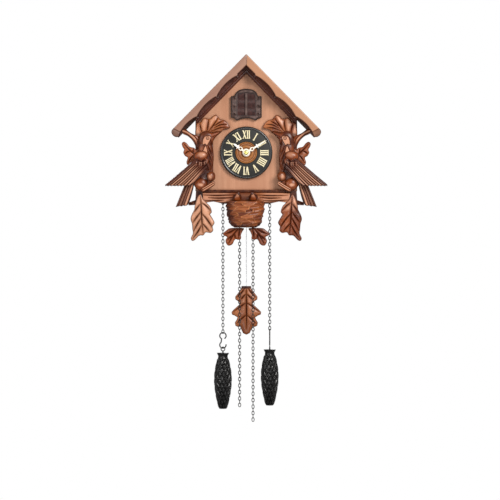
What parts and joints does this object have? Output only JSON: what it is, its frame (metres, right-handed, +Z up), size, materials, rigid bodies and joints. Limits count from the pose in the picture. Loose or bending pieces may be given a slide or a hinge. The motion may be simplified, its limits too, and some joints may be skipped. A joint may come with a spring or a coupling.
{
  "type": "cuckoo clock",
  "caption": "Wall cuckoo clock: gabled carved wood case, black dial, shutters with a sliding cuckoo, chain-hung cone weights and a leaf pendulum.",
  "frame": {"origin": "the hanging board's rear face, on the case's middle line, 12 mm below the keyhole's head", "axes": "+Z up, +Y into the wall, so the dial faces -Y, +X to the viewer's right"},
  "size_m": [0.2472, 0.1388, 0.5624],
  "materials": {
    "pale_wood": "satin",
    "dark_wood": "satin",
    "carved_wood": "glossy",
    "plain_wood": "matte",
    "painted_wood": "satin",
    "brown_plastic": "satin",
    "dial_black": "satin",
    "ivory_plastic": "glossy",
    "brass": "polished",
    "steel": "oxidised",
    "cast_iron": "lacquered"
  },
  "bodies": {
    "case": {"roof_board_left": "dark_wood", "roof_board_right": "dark_wood", "fascia_left": "pale_wood", "fascia_right": "pale_wood", "gable_trim": "dark_wood", "front_panel": "pale_wood", "side_wall_left": "pale_wood", "side_wall_right": "pale_wood", "bottom_board": "plain_wood", "hanging_board": "plain_wood", "hanging_bar": "carved_wood", "nest": "carved_wood", "nest_leaves": "carved_wood", "top_leaf_left": "carved_wood", "top_leaf_right": "carved_wood", "branch_left": "carved_wood", "branch_right": "carved_wood", "bird_left": "carved_wood", "bird_right": "carved_wood", "wing_left": "carved_wood", "wing_right": "carved_wood", "tail_left": "carved_wood", "tail_right": "carved_wood", "hanging_leaf_left": "carved_wood", "hanging_leaf_right": "carved_wood", "nestling_left": "carved_wood", "nestling_right": "carved_wood", "dial_plate": "dial_black", "dial_centre": "carved_wood", "door_frame": "brown_plastic", "movement_front_plate": "brass", "movement_back_plate": "brass", "gong": "steel", "bellows_left": "plain_wood", "bellows_right": "plain_wood"},
    "back_door": {"back_door": "plain_wood"},
    "minute_arbor": {"minute_hand": "ivory_plastic", "hand_nut": "brass", "centre_wheel": "brass"},
    "hour_pipe": {"hour_hand": "ivory_plastic"},
    "shutter_left": {"shutter_left": "brown_plastic"},
    "shutter_right": {"shutter_right": "brown_plastic"},
    "cuckoo_carriage": {"cuckoo": "painted_wood", "cuckoo_arm": "steel"},
    "escape_wheel": {"escape_wheel": "brass"},
    "anchor": {"anchor": "steel"},
    "pendulum": {"pendulum_rod": "steel"},
    "pendulum_bob": {"pendulum_bob": "carved_wood"},
    "weight_left": {"weight_chain_left": "steel", "hook_left": "steel", "cone_weight_left": "cast_iron"},
    "free_chain_left": {"free_chain_left": "steel"},
    "chain_wheel_left": {"chain_wheel_left": "brass"},
    "bellows_lid_left": {"bellows_lid_left": "plain_wood"},
    "weight_right": {"weight_chain_right": "steel", "hook_right": "steel", "cone_weight_right": "cast_iron"},
    "free_chain_right": {"free_chain_right": "steel"},
    "chain_wheel_right": {"chain_wheel_right": "brass"},
    "bellows_lid_right": {"bellows_lid_right": "plain_wood"}
  },
  "joints": [
    {"name": "back_door_hinge", "type": "hinge", "parent": "case", "child": "back_door", "pos_m": [-0.0655, -0.005, -0.0908], "axis": [0, 0, 1], "range_deg": [0, 100]},
    {"name": "minute_turn", "type": "hinge", "parent": "case", "child": "minute_arbor", "pos_m": [0, -0.08, -0.093], "axis": [0, 1, 0], "continuous": true},
    {"name": "hour_turn", "type": "hinge", "parent": "case", "child": "hour_pipe", "pos_m": [0, -0.11, -0.093], "axis": [0, 1, 0], "continuous": true},
    {"name": "cuckoo_slide", "type": "slide", "parent": "case", "child": "cuckoo_carriage", "axis": [0, -1, 0], "range_m": [0, 0.028]},
    {"name": "shutter_left_hinge", "type": "hinge", "parent": "case", "child": "shutter_left", "pos_m": [-0.0143, -0.1146, -0.0188], "axis": [0, 0, -1], "range_deg": [0, 90]},
    {"name": "shutter_right_hinge", "type": "hinge", "parent": "case", "child": "shutter_right", "pos_m": [0.0143, -0.1146, -0.0188], "axis": [0, 0, 1], "range_deg": [0, 90]},
    {"name": "escape_turn", "type": "hinge", "parent": "case", "child": "escape_wheel", "pos_m": [0, -0.049, -0.072], "axis": [0, 1, 0], "continuous": true},
    {"name": "pendulum_swing", "type": "hinge", "parent": "case", "child": "pendulum", "pos_m": [0, -0.025, -0.0488], "axis": [0, 1, 0], "range_deg": [-4.5, 4.5]},
    {"name": "bob_slide", "type": "slide", "parent": "pendulum", "child": "pendulum_bob", "axis": [0, 0, 1], "range_m": [-0.012, 0.02]},
    {"name": "anchor_rock", "type": "hinge", "parent": "case", "child": "anchor", "pos_m": [0, -0.049, -0.056], "axis": [0, 1, 0], "range_deg": [-5, 5]},
    {"name": "weight_left_run", "type": "slide", "parent": "case", "child": "weight_left", "axis": [0, 0, 1], "range_m": [-0.06, 0.06]},
    {"name": "free_chain_left_run", "type": "slide", "parent": "case", "child": "free_chain_left", "axis": [0, 0, 1], "range_m": [-0.06, 0.06]},
    {"name": "chain_wheel_left_turn", "type": "hinge", "parent": "case", "child": "chain_wheel_left", "pos_m": [-0.02335, -0.055, -0.118], "axis": [0, 1, 0], "range_deg": [-270, 270]},
    {"name": "bellows_lid_left_hinge", "type": "hinge", "parent": "case", "child": "bellows_lid_left", "pos_m": [-0.0595, -0.058, -0.0502], "axis": [-1, 0, 0], "range_deg": [0, 18]},
    {"name": "weight_right_run", "type": "slide", "parent": "case", "child": "weight_right", "axis": [0, 0, 1], "range_m": [-0.06, 0.06]},
    {"name": "free_chain_right_run", "type": "slide", "parent": "case", "child": "free_chain_right", "axis": [0, 0, 1], "range_m": [-0.06, 0.06]},
    {"name": "chain_wheel_right_turn", "type": "hinge", "parent": "case", "child": "chain_wheel_right", "pos_m": [0.02335, -0.055, -0.118], "axis": [0, 1, 0], "range_deg": [-270, 270]},
    {"name": "bellows_lid_right_hinge", "type": "hinge", "parent": "case", "child": "bellows_lid_right", "pos_m": [0.0595, -0.058, -0.0502], "axis": [-1, 0, 0], "range_deg": [0, 18]}
  ],
  "couplings": [
    {"joint": "hour_turn", "follows": "minute_turn", "ratio": 0.083333},
    {"joint": "shutter_left_hinge", "follows": "cuckoo_slide", "rad_per_m": 56.09},
    {"joint": "shutter_right_hinge", "follows": "cuckoo_slide", "rad_per_m": 56.09},
    {"joint": "anchor_rock", "follows": "pendulum_swing", "ratio": 1},
    {"joint": "free_chain_left_run", "follows": "weight_left_run", "ratio": -1},
    {"joint": "free_chain_right_run", "follows": "weight_right_run", "ratio": -1},
    {"joint": "chain_wheel_left_turn", "follows": "weight_left_run", "rad_per_m": 77.22},
    {"joint": "chain_wheel_right_turn", "follows": "weight_right_run", "rad_per_m": -77.22}
  ]
}
